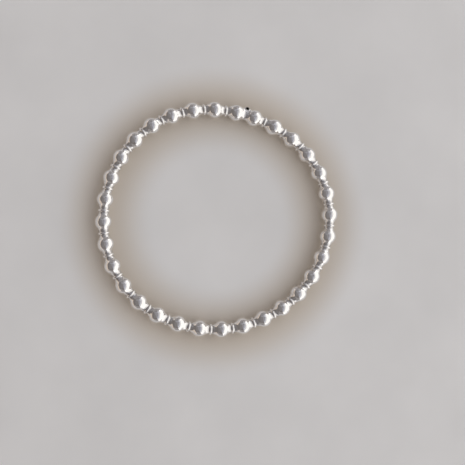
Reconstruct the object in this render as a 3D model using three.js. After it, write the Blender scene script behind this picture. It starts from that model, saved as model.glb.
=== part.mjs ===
// A thin stackable finger ring. It is one length of rolled silver bead wire: oval beads with hollow
// necks and a narrow round collar between each pair, bent round and closed by one soldered joint, so it
// is a single solid. The ring lies on its side. The origin is on the surface that it lies on, under the
// middle of its outline. +Z runs up the finger hole, and +Y points at the soldered joint.
import * as THREE from "three";

// Driving dimensions, in millimetres. Lengths are along the wire.
const FINGER_DIAMETER = 18.1; // mean clear width between the beads, for a finger of US size 8
const BEAD_DIAMETER = 1.5;
const BEAD_LENGTH = 1.25; // of a bead's own oval, where it is thicker than the grooves
const GROOVE_DEPTH = 0.33; // below the top of a bead
const GROOVE_LENGTH = 0.215; // from the end of a bead's oval to the collar
const COLLAR_LENGTH = 0.25;
const COLLAR_HEIGHT = 0.11; // above the bottom of the grooves
const JOINT_LENGTH = 0.39; // between the ovals of the two beads that the solder joins
const SOLDER_HEIGHT = 0.03; // above the bottom of the grooves

// How steeply a bead's neck still falls where it meets the collar, and where it meets the solder.
const NECK_LEAN = THREE.MathUtils.degToRad(7);
const SOLDER_LEAN = 0;

// How far the hand-bent ring is from a true circle, as waves in its radius: millimetres either way,
// the number of waves in a turn, and where a wave's crest is, in degrees from +X.
const BENDS = [
  { height: 0.2, waves: 2, crest: 17 },
  { height: 0.105, waves: 3, crest: 17 },
  { height: 0.055, waves: 4, crest: 44 },
];

// How finely the solid is faceted. The ring lies on flat facets where the sides are a multiple of four
// and the bands of a bead an odd number.
const SIDES = 16; // round the wire
const BEAD_BANDS = 5; // along a bead, between its necks
const NECK_BANDS = 2;
const COLLAR_BANDS = 3;

const SILVER = { color: 0xe9e6e0, roughness: 0.12, metalness: 1 };

const TURN = 2 * Math.PI;
const JOINT_ANGLE = TURN / 4;

const beadRadius = BEAD_DIAMETER / 2;
const grooveRadius = beadRadius - GROOVE_DEPTH;
const solderRadius = grooveRadius + SOLDER_HEIGHT;
const ringRadius = FINGER_DIAMETER / 2 + beadRadius;
const beadHalfAxis = BEAD_LENGTH / 2 / Math.sin(Math.acos(grooveRadius / beadRadius));

// The wire holds as many whole beads as its length allows, and is then stretched a little to close.
const pitch = BEAD_LENGTH + 2 * GROOVE_LENGTH + COLLAR_LENGTH;
const jointPitch = BEAD_LENGTH + JOINT_LENGTH;
const beadCount = 1 + Math.round((TURN * ringRadius - jointPitch) / pitch);
const wireLength = (beadCount - 1) * pitch + jointPitch;

const collarNeck = neckTo((pitch - COLLAR_LENGTH) / 2, grooveRadius, NECK_LEAN);
const solderNeck = neckTo(jointPitch / 2, solderRadius, SOLDER_LEAN);

// A neck is a round arc that leaves a bead's oval without a crease and ends at a place along the wire
// from the bead's middle, at a radius, where it still falls by lean. A place on the oval is given by
// the oval's own angle from the bead's middle, and the one where the neck starts is found by halving.
function neckTo(endAlong, endRadius, lean) {
  let [shallow, steep] = [0, TURN / 4];
  let neck;
  for (let halving = 0; halving < 40; halving++) {
    const ovalAngle = (shallow + steep) / 2;
    const startAlong = beadHalfAxis * Math.sin(ovalAngle);
    const startRadius = beadRadius * Math.cos(ovalAngle);
    const startLean = Math.atan2(beadRadius * Math.sin(ovalAngle), beadHalfAxis * Math.cos(ovalAngle));
    const size = (endAlong - startAlong) / (Math.sin(startLean) - Math.sin(lean));
    const reached = startRadius + size * (Math.cos(startLean) - Math.cos(lean));
    if (reached > endRadius) shallow = ovalAngle;
    else steep = ovalAngle;
    neck = { ovalAngle, startLean, lean, size, endAlong, endRadius };
  }
  return neck;
}

// The stations of half a bead and its neck, without the neck's end. Each is a place along the wire from
// the bead's middle and a radius. The oval's facets touch it at their middles, so their corners stand a
// little outside it.
function halfBead({ ovalAngle, startLean, lean, size, endAlong, endRadius }) {
  const stations = [];
  for (let edge = 1; edge <= BEAD_BANDS; edge += 2) {
    const angle = (ovalAngle * edge) / BEAD_BANDS;
    stations.push({
      along: beadHalfAxis * Math.sin(angle),
      radius: (beadRadius * Math.cos(angle)) / Math.cos(ovalAngle / BEAD_BANDS),
    });
  }
  for (let edge = 1; edge < NECK_BANDS; edge++) {
    const leaning = THREE.MathUtils.lerp(startLean, lean, edge / NECK_BANDS);
    stations.push({
      along: endAlong - size * (Math.sin(leaning) - Math.sin(lean)),
      radius: endRadius + size * (Math.cos(lean) - Math.cos(leaning)),
    });
  }
  return stations;
}

// The edges of a collar's bands, from its middle. It is half an oval that stands on the grooves.
function collarStations() {
  const stations = [];
  const bandAngle = TURN / 2 / COLLAR_BANDS;
  for (let edge = 0; edge <= COLLAR_BANDS; edge++) {
    const angle = edge * bandAngle - TURN / 4;
    const height = (COLLAR_HEIGHT * Math.cos(angle)) / Math.cos(bandAngle / 2);
    stations.push({ along: (COLLAR_LENGTH / 2) * Math.sin(angle), radius: grooveRadius + height });
  }
  return stations;
}

// Every station of the wire, from the middle of the joint round to it again.
function wireStations() {
  const stations = [{ along: 0, radius: solderRadius }];
  for (let bead = 0; bead < beadCount; bead++) {
    const middle = jointPitch / 2 + bead * pitch;
    const isLast = bead === beadCount - 1;
    for (const { along, radius } of halfBead(bead === 0 ? solderNeck : collarNeck).reverse())
      stations.push({ along: middle - along, radius });
    for (const { along, radius } of halfBead(isLast ? solderNeck : collarNeck))
      stations.push({ along: middle + along, radius });
    for (const { along, radius } of isLast ? [] : collarStations())
      stations.push({ along: middle + pitch / 2 + along, radius });
  }
  return stations;
}

// How far round a bend's wave an angle from +X is, from the wave's crest.
function bendPhase({ waves, crest }, angle) {
  return waves * (angle - THREE.MathUtils.degToRad(crest));
}

// The angle from +X that the bent wire has got to at a place along it. Where a wave carries the wire
// outside the circle, it turns more slowly, so the beads stay evenly spaced.
function wireAngle(along) {
  const even = JOINT_ANGLE + (TURN * along) / wireLength;
  return BENDS.reduce((angle, bend) => {
    const swing = Math.sin(bendPhase(bend, even)) - Math.sin(bendPhase(bend, JOINT_ANGLE));
    return angle - (bend.height / (bend.waves * ringRadius)) * swing;
  }, even);
}

// The radius of the bent wire's own line at an angle from +X.
function bentRadius(angle) {
  return BENDS.reduce(
    (radius, bend) => radius + bend.height * Math.cos(bendPhase(bend, angle)),
    ringRadius,
  );
}

// A torus whose sections are moved to the stations of the wire and given their radii. Its last section
// and its last side lie on the first ones, which closes it.
function bandGeometry() {
  const stations = wireStations();
  const geometry = new THREE.TorusGeometry(ringRadius, beadRadius, SIDES, stations.length);
  const position = geometry.getAttribute("position");
  for (let section = 0; section <= stations.length; section++) {
    const { along, radius } = stations[section % stations.length];
    const angle = wireAngle(along);
    const corner = radius / Math.cos(Math.PI / SIDES);
    for (let side = 0; side <= SIDES; side++) {
      const turned = (TURN * ((side % SIDES) + 0.5)) / SIDES;
      const outward = bentRadius(angle) + corner * Math.cos(turned);
      position.setXYZ(
        side * (stations.length + 1) + section,
        outward * Math.cos(angle),
        outward * Math.sin(angle),
        corner * Math.sin(turned),
      );
    }
  }
  geometry.center();
  geometry.computeVertexNormals();
  return geometry;
}

const band = new THREE.Mesh(bandGeometry(), new THREE.MeshStandardMaterial(SILVER));
band.name = "beaded_band";
band.position.z = beadRadius;

const ring = new THREE.Group();
ring.add(band);

export default ring;
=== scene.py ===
"""A thin stackable finger ring of polished silver bead wire, lying on its side on a pale table."""
import math

import bpy
from bpy.props import FloatProperty, FloatVectorProperty, IntProperty, PointerProperty
from mathutils import Matrix, Quaternion, Vector


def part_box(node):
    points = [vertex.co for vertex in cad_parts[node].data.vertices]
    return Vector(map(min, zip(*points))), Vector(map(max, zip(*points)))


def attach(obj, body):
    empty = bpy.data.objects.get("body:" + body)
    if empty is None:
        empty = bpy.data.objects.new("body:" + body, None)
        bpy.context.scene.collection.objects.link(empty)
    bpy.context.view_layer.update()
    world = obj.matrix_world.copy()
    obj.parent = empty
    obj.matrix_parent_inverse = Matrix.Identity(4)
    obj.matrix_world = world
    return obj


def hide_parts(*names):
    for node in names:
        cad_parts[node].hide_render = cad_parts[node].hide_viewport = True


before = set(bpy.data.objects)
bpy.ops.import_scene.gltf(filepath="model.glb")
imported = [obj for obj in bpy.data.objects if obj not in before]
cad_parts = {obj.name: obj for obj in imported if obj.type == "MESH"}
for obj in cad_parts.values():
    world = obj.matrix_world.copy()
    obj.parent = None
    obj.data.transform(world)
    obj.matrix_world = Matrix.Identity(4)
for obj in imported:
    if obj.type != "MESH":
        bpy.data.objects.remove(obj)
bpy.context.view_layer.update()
BAND_LOW, BAND_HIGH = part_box("beaded_band")

bl_info = {
    "name": "Stackable bead wire ring",
    "version": (1, 0, 0),
    "blender": (4, 5, 0),
    "location": "3D View > Sidebar > Ring",
    "description": "Makes a finger ring of silver bead wire, and the table and light it is seen in",
    "category": "Add Mesh",
}

MM = 0.001
TURN = 2 * math.pi

# The photograph's frame, in its own pixels: its side, and the ring's middle and mean radius in it.
IMAGE_SIDE_PX = 465
RING_CENTRE_PX = (218.0, 220.35)
RING_RADIUS_PX = 112.3

# How far the hand-bent ring is from a true circle, as waves in its radius: metres either way, the
# number of waves in a turn, and where a wave's crest is, in degrees from +X.
BENDS = [
    {"height": 0.2 * MM, "waves": 2, "crest": 17},
    {"height": 0.105 * MM, "waves": 3, "crest": 17},
    {"height": 0.055 * MM, "waves": 4, "crest": 44},
]
JOINT_ANGLE = TURN / 4

# The soft lights, as seen from the ring: colour, share of the full brightness, side as degrees
# counterclockwise from Softbox Side, lowest and highest edge and reach to either side, in degrees too,
# and whether the metal mirrors them or they only light the table.
LIGHTS = [
    {"name": "softbox", "colour": "#FFFEFC", "share": 0.85, "side": 5, "low": 1, "high": 50,
     "reach": 67, "mirrored": True},
    {"name": "softbox edge", "colour": "#FDFDFE", "share": 0.58, "side": 5, "low": 50, "high": 60,
     "reach": 61, "mirrored": True},
    {"name": "softbox fade", "colour": "#F2F6FF", "share": 0.36, "side": 5, "low": 60, "high": 73,
     "reach": 56, "mirrored": True},
    {"name": "softbox wing", "colour": "#F8FAFF", "share": 0.13, "side": 82, "low": 15, "high": 58,
     "reach": 16, "mirrored": True},
    {"name": "overhead glow", "colour": "#E2EAFF", "share": 0.23, "side": 12, "low": 73, "high": 88,
     "reach": 48, "mirrored": True},
    {"name": "overhead haze", "colour": "#E2EAFF", "share": 0.08, "side": 24, "low": 88, "high": 107,
     "reach": 42, "mirrored": True},
    {"name": "ceiling", "colour": "#E8EEFF", "share": 0.04, "side": 190, "low": 45, "high": 88,
     "reach": 40, "mirrored": True},
    {"name": "back wall", "colour": "#F4F4FA", "share": 0.11, "side": 108, "low": 0, "high": 26,
     "reach": 42, "mirrored": True},
    {"name": "back wall top", "colour": "#E8EEFF", "share": 0.07, "side": 108, "low": 26,
     "high": 62, "reach": 34, "mirrored": True},
    {"name": "front wall", "colour": "#F4F4FA", "share": 0.11, "side": -82, "low": 0, "high": 30,
     "reach": 38, "mirrored": True},
    {"name": "bounce", "colour": "#FFECD9", "share": 0.4, "side": 195, "low": 0, "high": 17,
     "reach": 65, "mirrored": True},
    {"name": "overhead fill", "colour": "#FFFFFF", "share": 0.075, "side": 0, "low": 30, "high": 150,
     "reach": 60, "mirrored": False},
    {"name": "softbox fill", "colour": "#FFFFFF", "share": 0.08, "side": 0, "low": 25, "high": 65,
     "reach": 50, "mirrored": False},
    {"name": "left fill", "colour": "#FFFAF5", "share": 0.46, "side": 188, "low": 5, "high": 50,
     "reach": 50, "mirrored": False},
]
PANEL_DISTANCE = 0.4  # from the ring to the middle of each light

# The table, the painted warm shade round the ring's circle, and the clouds in its glaze.
TABLE_HALF = 0.6  # half its side
PAINTED_SHADE_REACH = 4.2 * MM  # of the painted shade, to either side of the ring's mean circle
PAINTED_SHADE_CORE = 0.5 * MM  # where the painted shade starts to fade
GLAZE_CLOUD = 9 * MM  # the width of a cloud
GLAZE_SHADE = 0.93  # of the table's colour, where a cloud is darkest

# The camera sees nothing nearer or further than this.
CLIP_NEAR, CLIP_FAR = 0.01, 10

# How finely the band is drawn.
SIDES = 44  # round the wire
BEAD_STEPS = 13  # along half a bead
FILLET_STEPS = 9
COLLAR_STEPS = 6  # along half a collar
WELD_DISTANCE = 0.002 * MM  # the widest gap that is closed between two half beads

# How steeply a bead's neck still falls where it meets the collar.
NECK_LEAN = math.radians(7)

# A lump of solder on the outer side of the joint, and a pit beside its top whose deep shade is painted
# black: how far each reaches, how high or deep it is, how far it is from the joint's middle towards +X,
# and how steeply it rises from the wire's core.
LUMP = {"reach": 0.5 * MM, "height": 0.32 * MM, "aside": 0.02 * MM, "rise": math.radians(15)}
PIT = {"reach": 0.42 * MM, "height": -0.05 * MM, "aside": 0.01 * MM, "rise": math.radians(33)}

# What rolling, polish and wear have left on the metal.
DENT_WIDTH = 0.8 * MM
HAZE_WIDTH = 1.2 * MM
RIPPLE_WIDTH = 0.3 * MM
RIPPLE_HEIGHT = 0.02 * MM
SCRATCH_WIDTH = 0.1 * MM
SCRATCH_LENGTH = 0.9 * MM
SCRATCH_DEPTH = 0.0015 * MM
SCRATCH_TURN = (0.6, 0.4, 0.9)  # of the scratches out of the axes, in radians


def hex_colour(text):
    """An sRGB colour such as #C8BFB2 as linear red, green and blue."""
    shares = [int(text[i:i + 2], 16) / 255 for i in (1, 3, 5)]
    return tuple(s / 12.92 if s <= 0.04045 else ((s + 0.055) / 1.055) ** 2.4 for s in shares)


class RingSizes(bpy.types.PropertyGroup):
    """The sizes of the bead wire and of the ring bent from it."""

    finger_diameter: FloatProperty(
        name="Finger Diameter", description="Clear width between the beads across the hole",
        default=18.1 * MM, unit="LENGTH")
    bead_diameter: FloatProperty(
        name="Bead Diameter", description="Thickness of a bead",
        default=BAND_HIGH.z - BAND_LOW.z, unit="LENGTH")
    bead_length: FloatProperty(
        name="Bead Length", description="Length of a bead's own oval, down to the necks",
        default=1.25 * MM, unit="LENGTH")
    groove_depth: FloatProperty(
        name="Groove Depth", description="Depth of the groove beside a collar, below a bead's top",
        default=0.33 * MM, unit="LENGTH")
    groove_length: FloatProperty(
        name="Groove Length", description="From the end of a bead's oval to the collar",
        default=0.215 * MM, unit="LENGTH")
    collar_length: FloatProperty(
        name="Collar Length", description="Width of the collar along the wire",
        default=0.25 * MM, unit="LENGTH")
    collar_height: FloatProperty(
        name="Collar Height", description="Height of the collar above the bottom of the grooves",
        default=0.11 * MM, unit="LENGTH")
    joint_length: FloatProperty(
        name="Joint Length", description="Between the ovals of the two beads that the solder joins",
        default=0.39 * MM, unit="LENGTH")
    solder_height: FloatProperty(
        name="Solder Height", description="Height of the solder above the bottom of the grooves",
        default=0.03 * MM, unit="LENGTH")
    dents: FloatProperty(
        name="Dents", description="How far rolling and wear have moved the surface of the beads",
        default=0.05 * MM, unit="LENGTH")
    seed: IntProperty(name="Seed", description="Seed of the dents", default=4)


class RingFinish(bpy.types.PropertyGroup):
    """The look of the metal."""

    silver: FloatVectorProperty(
        name="Silver", description="Colour of clean polished silver",
        default=hex_colour("#F6F4F2"), subtype="COLOR", size=3)
    tarnish: FloatVectorProperty(
        name="Tarnish", description="Colour of the sulphide film in the hollows",
        default=hex_colour("#6B6259"), subtype="COLOR", size=3)
    # The pit's black is painted shade for the deep hollow at the joint.
    pit: FloatVectorProperty(
        name="Pit", description="Colour of the black spot in the solder",
        default=hex_colour("#14110F"), subtype="COLOR", size=3)


class StageSettings(bpy.types.PropertyGroup):
    """The table, the light and the camera."""

    table: FloatVectorProperty(
        name="Table", description="Colour of the table", default=hex_colour("#EDECEB"),
        subtype="COLOR", size=3)
    # Colour of the painted warm shade round the ring on the table.
    painted_shade_colour: FloatVectorProperty(
        name="Stain", description="Colour of the table's glaze round the ring",
        default=hex_colour("#D6CCBF"), subtype="COLOR", size=3)
    sky: FloatVectorProperty(
        name="Sky", description="Colour of the dim room all round", default=hex_colour("#75706E"),
        subtype="COLOR", size=3)
    softbox_radiance: FloatProperty(
        name="Softbox Brightness", description="Brightness of the light's own surface", default=1.12)
    softbox_side: FloatProperty(
        name="Softbox Side", description="Where the light stands, counterclockwise from +X",
        default=math.radians(3), subtype="ANGLE")
    camera_azimuth: FloatProperty(
        name="Camera Azimuth", description="Turn of the camera from facing the joint",
        default=math.radians(-64.6), subtype="ANGLE")
    camera_elevation: FloatProperty(
        name="Camera Elevation", description="Height of the camera above the table",
        default=math.radians(80), subtype="ANGLE")
    camera_roll: FloatProperty(
        name="Camera Roll", description="Turn of the camera in its own plane, counterclockwise",
        default=math.radians(79.8), subtype="ANGLE")
    lens: FloatProperty(name="Lens", description="Focal length in millimetres", default=75)


def add_node(tree, kind, settings=None, **links):
    """Adds a node. Its settings are its own options. A link is a value or where it comes from, by the
    name of the input with underscores for spaces, or by its number as in_0."""
    node = tree.nodes.new(kind)
    for name, value in (settings or {}).items():
        setattr(node, name, value)
    for name, value in links.items():
        if name.startswith("in_"):
            socket = node.inputs[int(name[3:])]
        else:
            socket = next(s for s in node.inputs
                          if s.enabled and s.name.lower() == name.replace("_", " "))
        if isinstance(value, bpy.types.Node):
            value = value.outputs[0]
        if isinstance(value, bpy.types.NodeSocket):
            tree.links.new(value, socket)
        else:
            socket.default_value = value
    return node


def start_tree(name, inputs):
    """A Geometry Nodes tree with named inputs, given as titles and kinds, and the sockets they give."""
    tree = bpy.data.node_groups.new(name, "GeometryNodeTree")
    for title, kind in inputs.items():
        tree.interface.new_socket(title, in_out="INPUT", socket_type="NodeSocket" + kind)
    tree.interface.new_socket("Geometry", in_out="OUTPUT", socket_type="NodeSocketGeometry")
    return tree, tree.nodes.new("NodeGroupInput").outputs


def half_bead_tree(name, arcs):
    """Half a bead with what follows it, turned about its own Z. The profile is the bead's outline and
    then round arcs, each through three points that are given as distance from the core and height."""
    inputs = {"Core Radius": "Float", "Bead Axes": "Vector", "Bead End": "Float"}
    for arc in arcs:
        inputs |= {f"{arc} {place}": "Vector" for place in ("Start", "Middle", "End")}
    tree, given = start_tree(name, inputs)
    outline = add_node(tree, "GeometryNodeCurveArc", {"mode": "RADIUS"}, resolution=BEAD_STEPS,
                       radius=1.0, start_angle=0.0, sweep_angle=given["Bead End"])
    inward = add_node(tree, "ShaderNodeMath", {"operation": "MULTIPLY"},
                      in_0=given["Core Radius"], in_1=-1.0)
    move = add_node(tree, "ShaderNodeCombineXYZ", x=inward)
    outline = add_node(tree, "GeometryNodeTransform", geometry=outline, translation=move,
                       scale=given["Bead Axes"])
    profile = add_node(tree, "GeometryNodeJoinGeometry", geometry=outline)
    for arc in arcs:
        steps = COLLAR_STEPS if arc == "Collar" else FILLET_STEPS
        drawn = add_node(tree, "GeometryNodeCurveArc", {"mode": "POINTS"}, resolution=steps,
                         start=given[f"{arc} Start"], middle=given[f"{arc} Middle"],
                         end=given[f"{arc} End"])
        tree.links.new(drawn.outputs[0], profile.inputs[0])
    core = add_node(tree, "GeometryNodeCurvePrimitiveCircle", {"mode": "RADIUS"},
                    resolution=SIDES, radius=given["Core Radius"])
    core = add_node(tree, "GeometryNodeSetCurveNormal", {"mode": "Z_UP"}, curve=core)
    turned = add_node(tree, "GeometryNodeCurveToMesh", curve=core, profile_curve=profile)
    tree.links.new(turned.outputs[0], tree.nodes.new("NodeGroupOutput").inputs[0])
    return tree


def straight_wire(tree, given, collar_half, joint_half):
    """The straight wire along X, from the middle of the joint: two halves of each bead, end to end."""
    halves = add_node(tree, "ShaderNodeMath", {"operation": "MULTIPLY"}, in_0=given["Beads"], in_1=2.0)
    line = add_node(tree, "GeometryNodeMeshLine", {"mode": "OFFSET"}, count=halves)
    index = add_node(tree, "GeometryNodeInputIndex")
    half = add_node(tree, "ShaderNodeMath", {"operation": "MULTIPLY"}, in_0=index, in_1=0.5)
    bead = add_node(tree, "ShaderNodeMath", {"operation": "FLOOR"}, in_0=half)
    is_second = add_node(tree, "ShaderNodeMath", {"operation": "FRACT"}, in_0=half)
    first_middle = add_node(tree, "ShaderNodeMath", {"operation": "MULTIPLY"},
                            in_0=given["Joint Pitch"], in_1=0.5)
    middle = add_node(tree, "ShaderNodeMath", {"operation": "MULTIPLY_ADD"},
                      in_0=bead, in_1=given["Pitch"], in_2=first_middle)
    place = add_node(tree, "ShaderNodeCombineXYZ", x=middle)
    points = add_node(tree, "GeometryNodeSetPosition", geometry=line, position=place)
    lean = add_node(tree, "ShaderNodeMapRange", value=is_second, from_min=0.0, from_max=0.5,
                    to_min=TURN / 4, to_max=-TURN / 4)
    lie = add_node(tree, "ShaderNodeCombineXYZ", y=lean)
    past_first = add_node(tree, "FunctionNodeCompare", {"data_type": "FLOAT"}, a=index, b=0.5)
    before_last = add_node(tree, "ShaderNodeMath", {"operation": "SUBTRACT"}, in_0=halves, in_1=1.5)
    is_before = add_node(tree, "FunctionNodeCompare", {"data_type": "FLOAT"}, a=before_last, b=index)
    at_collar = add_node(tree, "FunctionNodeBooleanMath", {"operation": "AND"},
                         in_0=past_first, in_1=is_before)
    at_joint = add_node(tree, "FunctionNodeBooleanMath", {"operation": "NOT"}, in_0=at_collar)
    wire = add_node(tree, "GeometryNodeJoinGeometry")
    for shape, where in ((collar_half, at_collar), (joint_half, at_joint)):
        placed = add_node(tree, "GeometryNodeInstanceOnPoints", points=points, selection=where,
                          instance=shape, rotation=lie)
        tree.links.new(placed.outputs[0], wire.inputs[0])
    return add_node(tree, "GeometryNodeRealizeInstances", geometry=wire)


def mark_hollows(tree, given, wire):
    """Stores how deep each point lies, from 0 on the beads' tops to 1 at the bottom of the grooves."""
    across = add_node(tree, "ShaderNodeVectorMath", {"operation": "MULTIPLY"},
                      in_0=add_node(tree, "GeometryNodeInputPosition"), in_1=(0, 1, 1))
    radius = add_node(tree, "ShaderNodeVectorMath", {"operation": "LENGTH"}, in_0=across)
    depth = add_node(tree, "ShaderNodeMapRange", value=radius.outputs["Value"],
                     from_min=given["Bead Radius"], from_max=given["Groove Radius"],
                     to_min=0.0, to_max=1.0)
    return add_node(tree, "GeometryNodeStoreNamedAttribute",
                    {"data_type": "FLOAT", "domain": "POINT"}, geometry=wire, name="hollow",
                    value=depth)


def bend_phase(bend, angle):
    """How far round a bend's wave an angle is, from the wave's crest."""
    return bend["waves"] * (angle - math.radians(bend["crest"]))


def bend_wave(tree, bend, angle, operation):
    """The sine or cosine of a bend's wave where the node angle has got to."""
    phase = add_node(tree, "ShaderNodeMath", {"operation": "MULTIPLY_ADD"}, in_0=angle,
                     in_1=bend["waves"], in_2=bend_phase(bend, 0))
    return add_node(tree, "ShaderNodeMath", {"operation": operation}, in_0=phase)


def bend_round(tree, given, wire):
    """Bends the straight wire into the ring, its joint at +Y, and sets it on the table. Where a wave
    carries the wire outside the circle, it turns through its angle more slowly."""
    along, inward, up = add_node(tree, "ShaderNodeSeparateXYZ", in_0=add_node(
        tree, "GeometryNodeInputPosition")).outputs
    turn = add_node(tree, "ShaderNodeMath", {"operation": "DIVIDE"}, in_0=TURN,
                    in_1=given["Wire Length"])
    even_angle = add_node(tree, "ShaderNodeMath", {"operation": "MULTIPLY_ADD"},
                          in_0=along, in_1=turn, in_2=JOINT_ANGLE)
    lag = -sum(bend["height"] / bend["waves"] * math.sin(bend_phase(bend, JOINT_ANGLE))
               for bend in BENDS)
    for bend in BENDS:
        lag = add_node(tree, "ShaderNodeMath", {"operation": "MULTIPLY_ADD"},
                       in_0=bend_wave(tree, bend, even_angle, "SINE"),
                       in_1=bend["height"] / bend["waves"], in_2=lag)
    lag = add_node(tree, "ShaderNodeMath", {"operation": "DIVIDE"}, in_0=lag,
                   in_1=given["Ring Radius"])
    angle = add_node(tree, "ShaderNodeMath", {"operation": "SUBTRACT"}, in_0=even_angle, in_1=lag)
    radius = add_node(tree, "ShaderNodeMath", {"operation": "SUBTRACT"},
                      in_0=given["Ring Radius"], in_1=inward)
    for bend in BENDS:
        radius = add_node(tree, "ShaderNodeMath", {"operation": "MULTIPLY_ADD"},
                          in_0=bend_wave(tree, bend, angle, "COSINE"), in_1=bend["height"],
                          in_2=radius)
    height = add_node(tree, "ShaderNodeMath", {"operation": "ADD"}, in_0=up,
                      in_1=given["Bead Radius"])
    direction = add_node(tree, "ShaderNodeCombineXYZ",
                         x=add_node(tree, "ShaderNodeMath", {"operation": "COSINE"}, in_0=angle),
                         y=add_node(tree, "ShaderNodeMath", {"operation": "SINE"}, in_0=angle))
    outward = add_node(tree, "ShaderNodeVectorMath", {"operation": "SCALE"},
                       in_0=direction, scale=radius)
    place = add_node(tree, "ShaderNodeVectorMath", {"operation": "ADD"}, in_0=outward,
                     in_1=add_node(tree, "ShaderNodeCombineXYZ", z=height))
    return add_node(tree, "GeometryNodeSetPosition", geometry=wire, position=place)


def roughen(tree, given, ring, size, amount):
    """Moves the surface a little by seeded noise whose bumps are as wide as size, in metres."""
    noise = add_node(tree, "ShaderNodeTexNoise", {"noise_dimensions": "4D"},
                     vector=add_node(tree, "GeometryNodeInputPosition"), w=given["Seed"],
                     scale=1 / size, detail=0.0)
    either_way = add_node(tree, "ShaderNodeVectorMath", {"operation": "SUBTRACT"},
                          in_0=noise.outputs["Color"], in_1=(0.5, 0.5, 0.5))
    move = add_node(tree, "ShaderNodeVectorMath", {"operation": "SCALE"}, in_0=either_way,
                    scale=amount)
    return add_node(tree, "GeometryNodeSetPosition", geometry=ring, offset=move)


def raise_spot(tree, ring, spot, middle):
    """Moves the surface round a point straight out from the wire's core, or in, and fades to nothing
    at the spot's reach. Gives the ring and how near each point of it is, from 0 to 1."""
    away = add_node(tree, "ShaderNodeVectorMath", {"operation": "DISTANCE"},
                    in_0=add_node(tree, "GeometryNodeInputPosition"), in_1=middle)
    share = add_node(tree, "ShaderNodeMapRange", {"interpolation_type": "SMOOTHSTEP"},
                     value=away.outputs["Value"], from_min=0.0, from_max=spot["reach"],
                     to_min=1.0, to_max=0.0)
    outward = add_node(tree, "ShaderNodeCombineXYZ", y=spot["height"] * math.cos(spot["rise"]),
                       z=spot["height"] * math.sin(spot["rise"]))
    move = add_node(tree, "ShaderNodeVectorMath", {"operation": "SCALE"}, in_0=outward, scale=share)
    return add_node(tree, "GeometryNodeSetPosition", geometry=ring, offset=move), share


def finish_joint(tree, given, ring):
    """Raises the solder's lump, sinks its pit and marks the pit for its black painted shade."""
    ring, _ = raise_spot(tree, ring, LUMP, given["Lump Middle"])
    ring, share = raise_spot(tree, ring, PIT, given["Pit Middle"])
    return add_node(tree, "GeometryNodeStoreNamedAttribute",
                    {"data_type": "FLOAT", "domain": "POINT"}, geometry=ring, name="pit",
                    value=share)


def centre_outline(tree, ring):
    """Moves the ring over the table, so that the middle of its outline is over the origin."""
    ends = add_node(tree, "GeometryNodeBoundBox", geometry=ring)
    both = add_node(tree, "ShaderNodeVectorMath", {"operation": "ADD"}, in_0=ends.outputs["Min"],
                    in_1=ends.outputs["Max"])
    back = add_node(tree, "ShaderNodeVectorMath", {"operation": "MULTIPLY"}, in_0=both,
                    in_1=(-0.5, -0.5, 0))
    return add_node(tree, "GeometryNodeSetPosition", geometry=ring, offset=back)


def ring_tree():
    """The whole band: half beads set end to end, bent round, roughened and closed."""
    collar_tree = half_bead_tree("half bead and half collar", ("Groove", "Collar"))
    joint_tree = half_bead_tree("half bead and half joint", ("Solder",))
    points = {f"{arc} {place}": "Vector" for arc in ("Groove", "Collar", "Solder")
              for place in ("Start", "Middle", "End")}
    tree, given = start_tree("ring of bead wire", {
        "Beads": "Int", "Pitch": "Float", "Joint Pitch": "Float", "Wire Length": "Float",
        "Ring Radius": "Float", "Bead Radius": "Float", "Groove Radius": "Float",
        "Bead Axes": "Vector", "Bead End": "Float", "Joint Bead End": "Float", **points,
        "Lump Middle": "Vector", "Pit Middle": "Vector", "Dents": "Float", "Seed": "Float",
        "Metal": "Material"})
    halves = []
    for half_tree, end in ((collar_tree, "Bead End"), (joint_tree, "Joint Bead End")):
        half = add_node(tree, "GeometryNodeGroup", {"node_tree": half_tree},
                        core_radius=given["Groove Radius"], bead_axes=given["Bead Axes"],
                        bead_end=given[end])
        for socket in half.inputs:
            if socket.name in points:
                tree.links.new(given[socket.name], socket)
        halves.append(half)
    band = straight_wire(tree, given, *halves)
    band = mark_hollows(tree, given, band)
    band = bend_round(tree, given, band)
    band = finish_joint(tree, given, band)
    band = roughen(tree, given, band, DENT_WIDTH, given["Dents"])
    band = centre_outline(tree, band)
    band = add_node(tree, "GeometryNodeMergeByDistance", geometry=band, distance=WELD_DISTANCE)
    band = add_node(tree, "GeometryNodeSetShadeSmooth", geometry=band, shade_smooth=True)
    band = add_node(tree, "GeometryNodeRealizeInstances", geometry=band)
    band = add_node(tree, "GeometryNodeSetMaterial", geometry=band, material=given["Metal"])
    tree.links.new(band.outputs[0], tree.nodes.new("NodeGroupOutput").inputs[0])
    return tree


def smooth_fillet(bead, half_axis, end, aside):
    """The angle on a bead's outline where a round fillet leaves it without a crease, and the fillet's
    start, middle and end. aside points from its end to its centre. Points are (along, radius)."""
    low, high = 0, TURN / 4
    for _ in range(40):
        angle = (low + high) / 2
        start = Vector((half_axis * math.sin(angle), bead * math.cos(angle)))
        outward = Vector((math.sin(angle) / half_axis, math.cos(angle) / bead)).normalized()
        size = (end.x - start.x) / (outward.x - aside.x)
        if start.y + size * (outward.y - aside.y) > end.y:
            low = angle
        else:
            high = angle
    middle = end + size * (aside - (outward + aside).normalized())
    return angle, (start, middle, end)


def level_arc(start, top):
    """The start, middle and end of a round arc that is level where it ends."""
    half, height = top.x - start.x, top.y - start.y
    centre = Vector((top.x, top.y - (half * half + height * height) / (2 * height)))
    radius = top.y - centre.y
    halfway = ((start - centre).normalized() + Vector((0, 1))).normalized()
    return start, centre + radius * halfway, top


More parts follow.
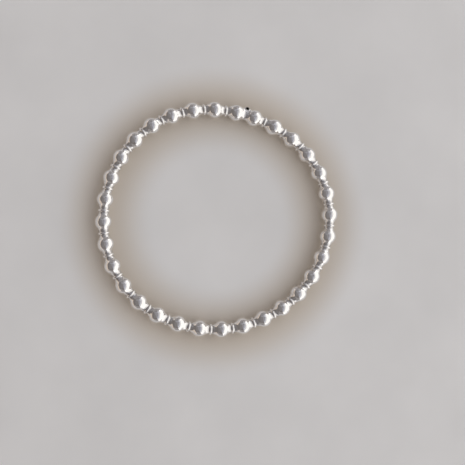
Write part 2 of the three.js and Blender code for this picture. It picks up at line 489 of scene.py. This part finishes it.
def tree_values(sizes, metal):
    """The inputs of the ring's tree, worked out from the sizes."""
    bead = sizes.bead_diameter / 2
    groove = bead - sizes.groove_depth
    collar = groove + sizes.collar_height
    solder = groove + sizes.solder_height
    ring = sizes.finger_diameter / 2 + bead
    pitch = sizes.bead_length + 2 * sizes.groove_length + sizes.collar_length
    joint_pitch = sizes.bead_length + sizes.joint_length
    beads = 1 + round((TURN * ring - joint_pitch) / pitch)
    half_axis = sizes.bead_length / 2 / math.sin(math.acos(groove / bead))
    foot = Vector(((pitch - sizes.collar_length) / 2, groove))
    bead_end, groove_arc = smooth_fillet(
        bead, half_axis, foot, Vector((math.sin(NECK_LEAN), math.cos(NECK_LEAN))))
    joint_end, solder_arc = smooth_fillet(
        bead, half_axis, Vector((joint_pitch / 2, solder)), Vector((0, 1)))
    collar_arc = level_arc(foot, Vector((pitch / 2, collar)))
    points = {f"{arc} {place}": (point.y - groove, point.x, 0)
              for arc, places in (("Groove", groove_arc), ("Collar", collar_arc),
                                  ("Solder", solder_arc))
              for place, point in zip(("Start", "Middle", "End"), places)}
    joint_radius = ring + sum(
        bend["height"] * math.cos(bend_phase(bend, JOINT_ANGLE)) for bend in BENDS)
    spots = {f"{name} Middle": (spot["aside"], joint_radius + out * math.cos(spot["rise"]),
                                bead + out * math.sin(spot["rise"]))
             for name, spot, out in (("Lump", LUMP, solder), ("Pit", PIT, solder + LUMP["height"]))}
    return {
        "Beads": beads, "Pitch": pitch, "Joint Pitch": joint_pitch,
        "Wire Length": (beads - 1) * pitch + joint_pitch, "Ring Radius": ring,
        "Bead Radius": bead, "Groove Radius": groove, "Bead Axes": (bead, half_axis, 1),
        "Bead End": bead_end, "Joint Bead End": joint_end, **points, **spots,
        "Dents": sizes.dents, "Seed": float(sizes.seed), "Metal": metal}


def polished_sterling_silver(finish):
    """Sterling silver, rolled and polished bright, then worn for a while. The eye gets a near mirror
    with a soft haze and faint ripples, fine scratches, a grey film low in the grooves, and a pit whose
    deep shade is painted black."""
    material = bpy.data.materials.new("polished sterling silver")
    material.use_nodes = True
    tree = material.node_tree
    tree.nodes.clear()
    place = add_node(tree, "ShaderNodeTexCoord").outputs["Object"]
    hollow = add_node(tree, "ShaderNodeAttribute", {"attribute_name": "hollow"}).outputs["Fac"]
    pit = add_node(tree, "ShaderNodeAttribute", {"attribute_name": "pit"}).outputs["Fac"]
    cloud = add_node(tree, "ShaderNodeTexNoise", vector=place, scale=1 / HAZE_WIDTH, detail=3.0)
    film = add_node(tree, "ShaderNodeMapRange", {"interpolation_type": "SMOOTHSTEP"}, value=hollow,
                    from_min=0.75, from_max=1.0, to_min=0.0, to_max=0.3)
    metal = add_node(tree, "ShaderNodeMix", {"data_type": "RGBA"}, factor=film,
                     a=(*finish.silver, 1), b=(*finish.tarnish, 1))
    # How near the pit each point is: this is where the black painted shade and the extra roughness go.
    painted_pit_shade = add_node(tree, "ShaderNodeMapRange", {"interpolation_type": "SMOOTHSTEP"}, value=pit,
                     from_min=0.25, from_max=0.6, to_min=0.0, to_max=1.0)
    colour = add_node(tree, "ShaderNodeMix", {"data_type": "RGBA"}, factor=painted_pit_shade,
                      a=metal.outputs[2], b=(*finish.pit, 1))
    haze = add_node(tree, "ShaderNodeMapRange", value=cloud, from_min=0.35, from_max=0.7,
                    to_min=0.04, to_max=0.11)
    dull = add_node(tree, "ShaderNodeMath", {"operation": "MULTIPLY_ADD"}, in_0=film, in_1=0.25,
                    in_2=haze)
    roughness = add_node(tree, "ShaderNodeMath", {"operation": "MULTIPLY_ADD"}, in_0=painted_pit_shade,
                         in_1=0.5, in_2=dull)
    marks = add_node(tree, "ShaderNodeMapping", vector=place, rotation=SCRATCH_TURN,
                     scale=(1 / SCRATCH_WIDTH, 1 / SCRATCH_LENGTH, 1 / SCRATCH_WIDTH))
    scratches = add_node(tree, "ShaderNodeTexNoise", vector=marks, scale=1.0, detail=2.0)
    bump = add_node(tree, "ShaderNodeBump", strength=1.0, distance=SCRATCH_DEPTH, height=scratches)
    ripples = add_node(tree, "ShaderNodeTexNoise", vector=place, scale=1 / RIPPLE_WIDTH, detail=1.0)
    bump = add_node(tree, "ShaderNodeBump", strength=1.0, distance=RIPPLE_HEIGHT, height=ripples,
                    normal=bump)
    surface = add_node(tree, "ShaderNodeBsdfPrincipled", base_color=colour.outputs[2],
                       metallic=1.0, roughness=roughness, normal=bump)
    add_node(tree, "ShaderNodeOutputMaterial", surface=surface)
    return material


def glazed_stoneware(stage, sizes):
    """Pale glazed stoneware. The eye gets an even pale grey with a faint cloud and a soft sheen, and a
    warm darker band round the ring, which is painted shade where the ring shades the table."""
    material = bpy.data.materials.new("pale glazed stoneware")
    material.use_nodes = True
    tree = material.node_tree
    tree.nodes.clear()
    place = add_node(tree, "ShaderNodeTexCoord").outputs["Object"]
    away = add_node(tree, "ShaderNodeVectorMath", {"operation": "LENGTH"}, in_0=place)
    ring = (sizes.finger_diameter + sizes.bead_diameter) / 2
    beside = add_node(tree, "ShaderNodeMath", {"operation": "SUBTRACT"},
                      in_0=away.outputs["Value"], in_1=ring)
    beside = add_node(tree, "ShaderNodeMath", {"operation": "ABSOLUTE"}, in_0=beside)
    # Painted shade: a warm darker band round the ring's circle, full at its core and fading outward,
    # where the ring shades the table.
    painted_shade = add_node(tree, "ShaderNodeMapRange", {"interpolation_type": "SMOOTHSTEP"},
                      value=beside, from_min=PAINTED_SHADE_CORE, from_max=PAINTED_SHADE_REACH, to_min=1.0, to_max=0.0)
    cloud = add_node(tree, "ShaderNodeTexNoise", vector=place, scale=1 / GLAZE_CLOUD, detail=3.0)
    share = add_node(tree, "ShaderNodeMapRange", value=cloud, from_min=0.3, from_max=0.7,
                     to_min=0.0, to_max=1.0)
    darker = [GLAZE_SHADE * part for part in stage.table]
    mixed = add_node(tree, "ShaderNodeMix", {"data_type": "RGBA"}, factor=share,
                     a=(*darker, 1), b=(*stage.table, 1))
    mixed = add_node(tree, "ShaderNodeMix", {"data_type": "RGBA"}, factor=painted_shade,
                     a=mixed.outputs[2], b=(*stage.painted_shade_colour, 1))
    surface = add_node(tree, "ShaderNodeBsdfPrincipled", base_color=mixed.outputs[2],
                       roughness=0.5)
    add_node(tree, "ShaderNodeOutputMaterial", surface=surface)
    return material


def view_axes(stage):
    """The picture's right, up and towards-the-camera directions."""
    azimuth, elevation = stage.camera_azimuth, stage.camera_elevation
    back = Vector((math.sin(azimuth) * math.cos(elevation),
                   -math.cos(azimuth) * math.cos(elevation), math.sin(elevation)))
    level = Vector((math.cos(azimuth), math.sin(azimuth), 0))
    right = Quaternion(back, stage.camera_roll) @ level
    return right, back.cross(right), back


def add_camera(stage, sizes):
    """The camera, so far back and so aimed that the ring fills its place in the photograph."""
    right, up, back = view_axes(stage)
    data = bpy.data.cameras.new("camera")
    data.lens = stage.lens
    data.clip_start, data.clip_end = CLIP_NEAR, CLIP_FAR
    pixel = (sizes.finger_diameter + sizes.bead_diameter) / 2 / RING_RADIUS_PX
    distance = IMAGE_SIDE_PX * pixel * data.lens / data.sensor_width
    aim = Vector((0, 0, sizes.bead_diameter / 2))
    aim += right * (IMAGE_SIDE_PX / 2 - RING_CENTRE_PX[0]) * pixel
    aim -= up * (IMAGE_SIDE_PX / 2 - RING_CENTRE_PX[1]) * pixel
    camera = bpy.data.objects.new("camera", data)
    camera.location = aim + back * distance
    camera.rotation_euler = Matrix((right, up, back)).transposed().to_euler()
    bpy.context.scene.collection.objects.link(camera)
    bpy.context.scene.camera = camera


def add_panel(stage, name, colour, share, side, low, high, reach, mirrored):
    """A flat soft light that faces the ring from PANEL_DISTANCE away, from a row of LIGHTS."""
    side, low, high, reach = (math.radians(angle) for angle in (side, low, high, reach))
    side += stage.softbox_side
    middle = (low + high) / 2
    towards = Vector((math.cos(side) * math.cos(middle), math.sin(side) * math.cos(middle),
                      math.sin(middle)))
    data = bpy.data.lights.new(name, "AREA")
    data.shape = "RECTANGLE"
    data.size = 2 * PANEL_DISTANCE * math.tan(reach)
    data.size_y = 2 * PANEL_DISTANCE * math.tan((high - low) / 2)
    data.color = hex_colour(colour)
    data.energy = share * stage.softbox_radiance * math.pi * data.size * data.size_y
    panel = bpy.data.objects.new(name, data)
    panel.location = towards * PANEL_DISTANCE
    panel.rotation_euler = towards.to_track_quat("Z", "Y").to_euler()
    panel.visible_camera = False
    panel.visible_glossy = mirrored
    bpy.context.scene.collection.objects.link(panel)


def add_sky(stage):
    """The dim room round the table."""
    world = bpy.data.worlds.new("dim room")
    world.use_nodes = True
    world.node_tree.nodes["Background"].inputs["Color"].default_value = (*stage.sky, 1)
    bpy.context.scene.world = world


def add_table(stage, sizes):
    """The table that the ring lies on."""
    corners = [(x * TABLE_HALF, y * TABLE_HALF, 0) for x, y in ((-1, -1), (1, -1), (1, 1), (-1, 1))]
    mesh = bpy.data.meshes.new("table")
    mesh.from_pydata(corners, [], [(0, 1, 2, 3)])
    mesh.materials.append(glazed_stoneware(stage, sizes))
    table = bpy.data.objects.new("table", mesh)
    bpy.context.scene.collection.objects.link(table)


class RING_OT_stage(bpy.types.Operator):
    """Adds the table, the soft lights, the dim room and the camera"""

    bl_idname = "ring.stage"
    bl_label = "Add Stage"

    def execute(self, context):
        stage = context.scene.ring_stage
        add_camera(stage, context.scene.ring_sizes)
        add_table(stage, context.scene.ring_sizes)
        for light in LIGHTS:
            add_panel(stage, **light)
        add_sky(stage)
        context.scene.view_settings.view_transform = "Standard"
        return {"FINISHED"}


class RING_OT_band(bpy.types.Operator):
    """Bends the bead wire into the closed band and gives it its finish"""

    bl_idname = "ring.band"
    bl_label = "Add Beaded Band"

    def execute(self, context):
        scene = context.scene
        values = tree_values(scene.ring_sizes, polished_sterling_silver(scene.ring_finish))
        band = bpy.data.objects.new("bead_wire_band", bpy.data.meshes.new("bead_wire_band"))
        scene.collection.objects.link(band)
        modifier = band.modifiers.new("ring of bead wire", "NODES")
        modifier.node_group = ring_tree()
        for item in modifier.node_group.interface.items_tree:
            if item.in_out == "INPUT":
                modifier[item.identifier] = values[item.name]
        depsgraph = context.evaluated_depsgraph_get()
        band.data = bpy.data.meshes.new_from_object(
            band.evaluated_get(depsgraph), preserve_all_data_layers=True, depsgraph=depsgraph)
        band.modifiers.remove(modifier)
        if not band.data.polygons:
            raise RuntimeError("the band came out empty")
        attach(band, "root")
        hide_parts("beaded_band")
        return {"FINISHED"}


class RING_PT_panel(bpy.types.Panel):
    """The ring's sizes, finish and stage"""

    bl_idname = "RING_PT_panel"
    bl_label = "Bead Wire Ring"
    bl_space_type = "VIEW_3D"
    bl_region_type = "UI"
    bl_category = "Ring"

    def draw(self, context):
        for group in ("ring_sizes", "ring_finish", "ring_stage"):
            settings = getattr(context.scene, group)
            box = self.layout.box()
            for name in settings.__annotations__:
                box.prop(settings, name)
        for operator in (RING_OT_stage, RING_OT_band):
            self.layout.operator(operator.bl_idname)


CLASSES = (RingSizes, RingFinish, StageSettings, RING_OT_stage, RING_OT_band, RING_PT_panel)


def register():
    for cls in CLASSES:
        bpy.utils.register_class(cls)
    bpy.types.Scene.ring_sizes = PointerProperty(type=RingSizes)
    bpy.types.Scene.ring_finish = PointerProperty(type=RingFinish)
    bpy.types.Scene.ring_stage = PointerProperty(type=StageSettings)


def unregister():
    del bpy.types.Scene.ring_stage
    del bpy.types.Scene.ring_finish
    del bpy.types.Scene.ring_sizes
    for cls in reversed(CLASSES):
        bpy.utils.unregister_class(cls)


def main():
    register()
    bpy.ops.ring.stage()
    bpy.ops.ring.band()


if __name__ == "__main__":
    main()
